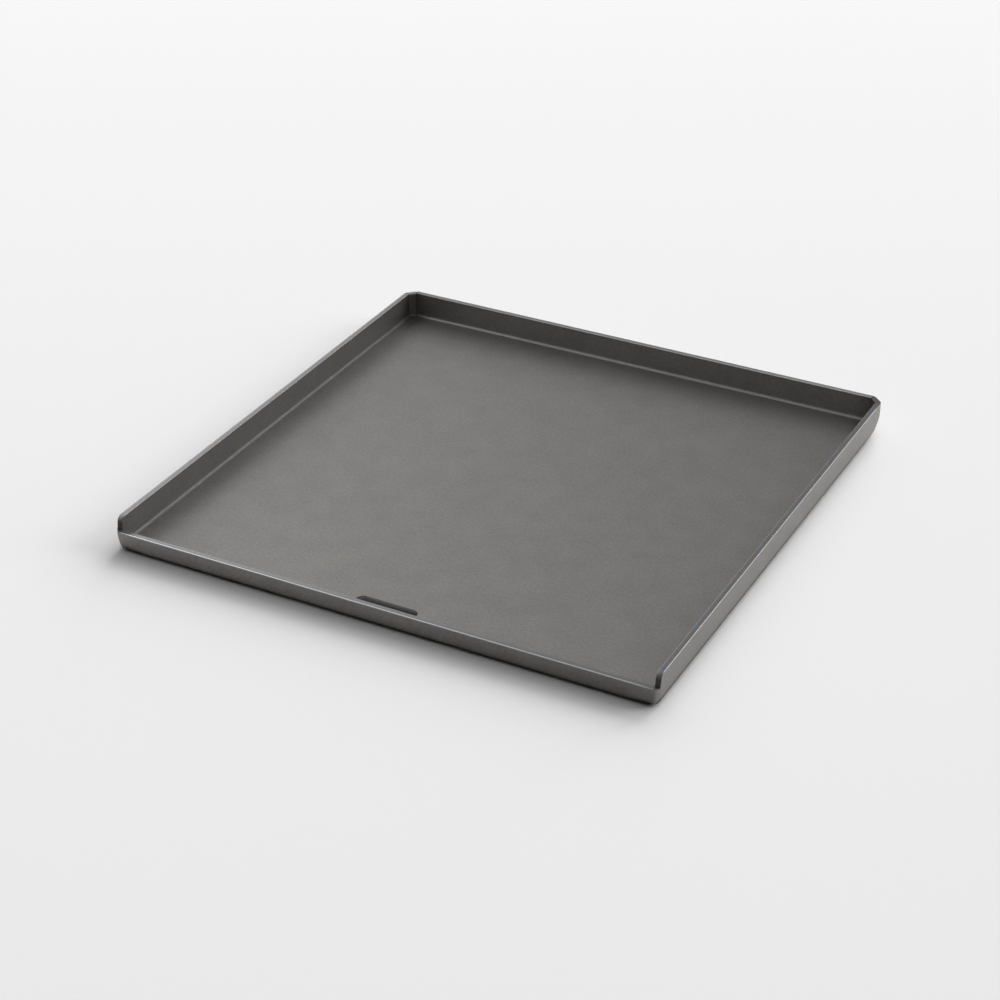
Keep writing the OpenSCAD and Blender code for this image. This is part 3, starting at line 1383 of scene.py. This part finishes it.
@dataclass(frozen=True)
class FrontCornerWeld:
    """Weld metal that fills a front corner, ground round, with a cove up the end of the wall.

    Its darkening goes over from the wall's to the lip's painted shade: lip_reach is the share of the way
    round the corner that has some of the lip's. Its foot has a painted contact shadow. The top's edge is
    sharp beside the wall, with edge_least of its rounding, and has all of it from edge_grow of the cove on.
    """

    sizes: TraySizes
    hand: Hand
    turns: int = 26
    spokes: int = 24
    wall_steps: int = 8
    edge_least: float = 0.02
    edge_grow: float = 0.6
    soot_and_shade: float = 0.95
    top_soot: float = 0.25
    top_wear: float = 0.3
    foot_shadow: float = 0.85
    wall_rise: float = WALL_RISE
    lip_rise: float = 3.3
    lip_face_shade: float = LIP_FACE_SHADE
    lip_reach: float = 0.65

    def angles(self) -> Array:
        """Directions of the spokes from the inner corner.

        Returns:
            One angle per spoke, from the wall's cut to the lip's cut.
        """
        s = self.sizes
        first = math.asin((s.inner_corner[1] - s.end_y - s.edge) / s.sheet)
        return np.linspace(math.pi + first, 1.5 * math.pi, self.turns + 1)

    def top_height(self, y: Array) -> Array:
        """Height of the top: the lip's, with a quarter-circle cove up to the foot of the wall end.

        Args:
            y: Y of points on the top.

        Returns:
            Their heights.
        """
        s = self.sizes
        ahead = np.clip((s.end_y - y) / s.cove, 0.0, 1.0)
        return s.lip_top + s.cove * (1 - np.sqrt(1 - (1 - ahead) ** 2))

    def grid(self) -> Array:
        """Spokes of the left corner: out along the top, over the edge, down and back under to the corner.

        A spoke at angle a is at corner + q (cos a, sin a) in plan, with q from zero to the sheet's
        thickness. Underneath, its height follows the fold.

        Returns:
            Points in an array of (spoke, place along the spoke, xyz).
        """
        s = self.sizes
        turn = self.angles()
        way = stacked(np.cos(turn), np.sin(turn))[:, None]
        outer_y = s.inner_corner[1] + s.sheet * np.sin(turn)
        fade = np.clip((s.end_y - outer_y) / (self.edge_grow * s.cove), self.edge_least, 1.0)
        edge = (s.edge * fade)[:, None]
        share = np.linspace(0.0, 1.0, self.spokes + 1)[None, :]
        flat = s.inner_corner + ((s.sheet - edge) * share)[..., None] * way
        top = lift(flat, self.top_height(flat[..., 1]))

        bend = np.linspace(0.0, math.pi / 2, PROFILE.edge_steps + 1)[None, 1:]
        reach = s.sheet - edge + edge * np.sin(bend)
        crown = self.top_height(outer_y)[:, None] - edge * (1 - np.cos(bend))
        edges = lift(s.inner_corner + reach[..., None] * way, crown)

        wall_share = np.linspace(0.0, 1.0, self.wall_steps + 1)[None, 1:-1]
        wall_z = mix(crown[:, -1:], s.fold_outer, wall_share)
        outside = np.broadcast_to(s.inner_corner + s.sheet * way, (*wall_z.shape, 2))
        wall = lift(outside, wall_z)

        head = foot_angles(s, np.array([s.fold_outer]))[0, PROFILE.fold_tail:][::-1]
        reach = s.sheet - s.fold_outer * (1 - np.cos(head))
        fold = lift(s.inner_corner + reach[:, None] * way, s.fold_outer * (1 - np.sin(head)))
        return np.concatenate([top, edges, wall, fold], axis=1)

    def marks(self, grid: Array) -> tuple[Array, Array]:
        """Dark beside the wall's end, the lip's painted shade round the face, a painted foot shadow.

        Args:
            grid: The weld's points on its own half, before they are ground round.

        Returns:
            wear_and_highlight and soot_and_shade in arrays of (spoke, place along the spoke).
        """
        beside = near(np.maximum(self.sizes.end_y - grid[..., 1], 0.0), self.sizes.end_inset)
        below = self.spokes + PROFILE.edge_steps + 1
        top = np.arange(grid.shape[1]) < below
        soot_and_shade = mix(self.top_soot, self.soot_and_shade, beside) * top
        along = np.linspace(1.0, 0.0, len(grid))[::-int(self.hand.value)]
        face = self.lip_face_shade * lip_shade(self.hand.value / 2) * near(along, self.lip_reach)
        foot = foot_share(mix(self.lip_rise, self.wall_rise, along))[PROFILE.fold_tail + 1:]
        soot_and_shade[:, below:] = face[:, None]
        soot_and_shade[:, -len(foot):] = np.maximum(self.foot_shadow * foot[::-1].T, face[:, None])
        return self.top_wear * (1 - beside) * top, soot_and_shade

    def build(self, material: bpy.types.Material) -> bpy.types.Object:
        """Make the weld as one closed mesh.

        Args:
            material: Its finish.

        Returns:
            The piece.
        """
        grid = self.grid()
        if self.hand is Hand.RIGHT:
            grid = grid[::-1] * [-1.0, 1.0, 1.0]
        wear_and_highlight, soot_and_shade = self.marks(grid)
        grid[:, self.spokes + 1:] = self.sizes.ground(grid[:, self.spokes + 1:])
        store = MeshStore()
        index = store.add_grid(grid, wear_and_highlight, soot_and_shade=soot_and_shade)
        store.add_loop(index[0][::-1])
        store.add_loop(index[-1])
        piece = store.build(f"corner_weld_front_{self.hand.word}", material)
        return dress(piece, f"front_{self.hand.word}_corner_weld")


# Studio


@dataclass(frozen=True)
class PaleFloor:
    """Matte finish of the studio floor, painted paler towards the back of the picture as painted light."""

    front: Colour = (0.785, 0.785, 0.785)
    back: Colour = (0.97, 0.97, 0.97)
    fade: float = 1.0
    roughness: float = 0.9
    specular: float = 0.1

    def build(self, turn: float) -> bpy.types.Material:
        """Make the material.

        Args:
            turn: Way to the back of the picture, in radians from Y.

        Returns:
            The material, blended from front to back over the fade on both sides of the tray's middle.
        """
        material = bpy.data.materials.new("pale_floor")
        material.use_nodes = True
        nodes = NodeTree(material.node_tree)
        along = nodes.add("ShaderNodeVectorMath", operation="DOT_PRODUCT")
        nodes.join(nodes.add("ShaderNodeTexCoord").outputs["Object"], along.inputs[0])
        along.inputs[1].default_value = (-math.sin(turn), math.cos(turn), 0.0)
        share = nodes.span(along.outputs["Value"], 0.0, 1.0, -self.fade, self.fade)
        shader = nodes.add("ShaderNodeBsdfPrincipled")
        shader.inputs["Roughness"].default_value = self.roughness
        shader.inputs["Specular IOR Level"].default_value = self.specular
        nodes.join(nodes.blend(share, self.front, self.back), shader.inputs["Base Color"])
        output = nodes.add("ShaderNodeOutputMaterial")
        nodes.join(shader.outputs["BSDF"], output.inputs["Surface"])
        return material


@dataclass(frozen=True)
class Lamp:
    """A broad soft lamp, too far away for its stand to matter to its light.

    In degrees, width is how broad it looks, side the way round to it from X and height how high it is.
    """

    name: str
    power: float
    width: float
    side: float
    height: float
    stand: tuple[float, float, float] = (1.5, 1.5, 2.0)

    def build(self) -> None:
        """Make the lamp, left out of reflections."""
        data = bpy.data.lights.new(self.name, "SUN")
        data.energy = self.power
        data.angle = math.radians(self.width)
        lamp = bpy.data.objects.new(self.name, data)
        lamp.location = self.stand
        lamp.rotation_euler = (math.radians(90.0 - self.height), 0.0, math.radians(90.0 + self.side))
        lamp.visible_glossy = False
        bpy.context.scene.collection.objects.link(lamp)


class Axis(Enum):
    """Axes along which the surroundings change."""

    ACROSS = "X"
    UPRIGHT = "Z"


@dataclass(frozen=True)
class Glow:
    """Light from one side of the surroundings, growing to its level from start to stop along an axis."""

    axis: Axis
    level: float
    start: float
    stop: float


@dataclass(frozen=True)
class Surroundings:
    """Even light, a plain backdrop for the camera, and for the metal a pale sweep.

    The sweep is dim on the right and grows to the left, and has more light from the left, from the right
    and from above.
    """

    even: float = 0.03
    backdrop: float = 0.92
    dim: float = 0.08
    sweep: Glow = Glow(Axis.ACROSS, level=0.39, start=0.05, stop=-0.34)
    glows: tuple[Glow, ...] = (Glow(Axis.ACROSS, level=1.12, start=-0.34, stop=-0.56),
                               Glow(Axis.ACROSS, level=0.82, start=0.1, stop=0.6),
                               Glow(Axis.UPRIGHT, level=0.3, start=0.6, stop=0.85))

    def build(self) -> None:
        """Make the world and use it."""
        world = bpy.data.worlds.new("surroundings")
        bpy.context.scene.world = world
        world.use_nodes = True
        nodes = NodeTree(world.node_tree)
        axes = nodes.add("ShaderNodeSeparateXYZ")
        nodes.join(nodes.add("ShaderNodeTexCoord").outputs["Generated"], axes.inputs["Vector"])
        across = axes.outputs[self.sweep.axis.value]
        light = nodes.span(across, self.dim, self.sweep.level, self.sweep.start, self.sweep.stop)
        for glow in self.glows:
            along = axes.outputs[glow.axis.value]
            more = nodes.span(along, 0.0, glow.level, glow.start, glow.stop, smooth=True)
            total = nodes.add("ShaderNodeMath", operation="ADD")
            nodes.join(light, total.inputs[0])
            nodes.join(more, total.inputs[1])
            light = total.outputs["Value"]
        path = nodes.add("ShaderNodeLightPath")
        seen = nodes.add("ShaderNodeMix", data_type="FLOAT")
        nodes.join(path.outputs["Is Glossy Ray"], seen.inputs["Factor"])
        seen.inputs["A"].default_value = self.even
        nodes.join(light, seen.inputs["B"])
        shown = nodes.add("ShaderNodeMix", data_type="FLOAT")
        nodes.join(path.outputs["Is Camera Ray"], shown.inputs["Factor"])
        nodes.join(seen.outputs["Result"], shown.inputs["A"])
        shown.inputs["B"].default_value = self.backdrop
        back = nodes.add("ShaderNodeBackground")
        nodes.join(shown.outputs["Result"], back.inputs["Strength"])
        output = nodes.add("ShaderNodeOutputWorld")
        nodes.join(back.outputs["Background"], output.inputs["Surface"])


@dataclass(frozen=True)
class Studio:
    """Pale floor, soft light and the camera at the photograph's angle."""

    camera_at: tuple[float, float, float] = (0.5517, -1.0778, 0.7064)
    camera_tilt: float = math.radians(59.367)
    camera_turn: float = math.radians(27.573)
    lens: float = 84.0
    sensor: float = 36.0
    floor_reach: float = 12.0
    floor_cells: int = 8
    floor_gap: float = 0.3 * MM
    floor_finish: PaleFloor = PaleFloor()
    lamps: tuple[Lamp, ...] = (Lamp("low_lamp", power=3.75, width=50.0, side=89.0, height=20.0),
                               Lamp("left_lamp", power=0.3, width=40.0, side=145.0, height=26.0),
                               Lamp("right_lamp", power=1.5, width=36.0, side=36.0, height=24.0),
                               Lamp("high_lamp", power=0.78, width=60.0, side=88.0, height=65.0),
                               Lamp("front_lamp", power=0.27, width=34.0, side=-90.0, height=76.0))
    surroundings: Surroundings = Surroundings()

    def camera(self) -> None:
        """Make the camera and use it."""
        data = bpy.data.cameras.new("camera")
        data.lens = self.lens
        data.sensor_width = self.sensor
        camera = bpy.data.objects.new("camera", data)
        camera.location = self.camera_at
        camera.rotation_euler = (self.camera_tilt, 0.0, self.camera_turn)
        bpy.context.scene.collection.objects.link(camera)
        bpy.context.scene.camera = camera

    def floor(self) -> None:
        """Make the floor, a flat grid just under the tray."""
        reach = np.linspace(-self.floor_reach, self.floor_reach, self.floor_cells + 1)
        plan = stacked(*np.meshgrid(reach, reach))
        store = MeshStore()
        store.add_grid(lift(plan, -self.floor_gap), flip=True)
        material = self.floor_finish.build(self.camera_turn)
        store.build("studio_floor", material)

    def build(self) -> None:
        """Set up the whole studio."""
        bpy.context.scene.view_settings.view_transform = "Standard"
        self.camera()
        self.floor()
        for lamp in self.lamps:
            lamp.build()
        self.surroundings.build()


def main() -> None:
    """Build every piece in order, then the studio."""
    logging.basicConfig(level=logging.INFO, format="%(name)s: %(message)s")
    sizes = TraySizes.from_frame()
    sheet, weld = SHEET_STEEL.build(), WELD_STEEL.build()
    FoldedPan(sizes).build(sheet)
    for hand in Hand:
        RearCorner(sizes, hand).build(sheet, weld)
        FrontCornerWeld(sizes, hand).build(weld)
    Studio().build()


if __name__ == "__main__":
    main()
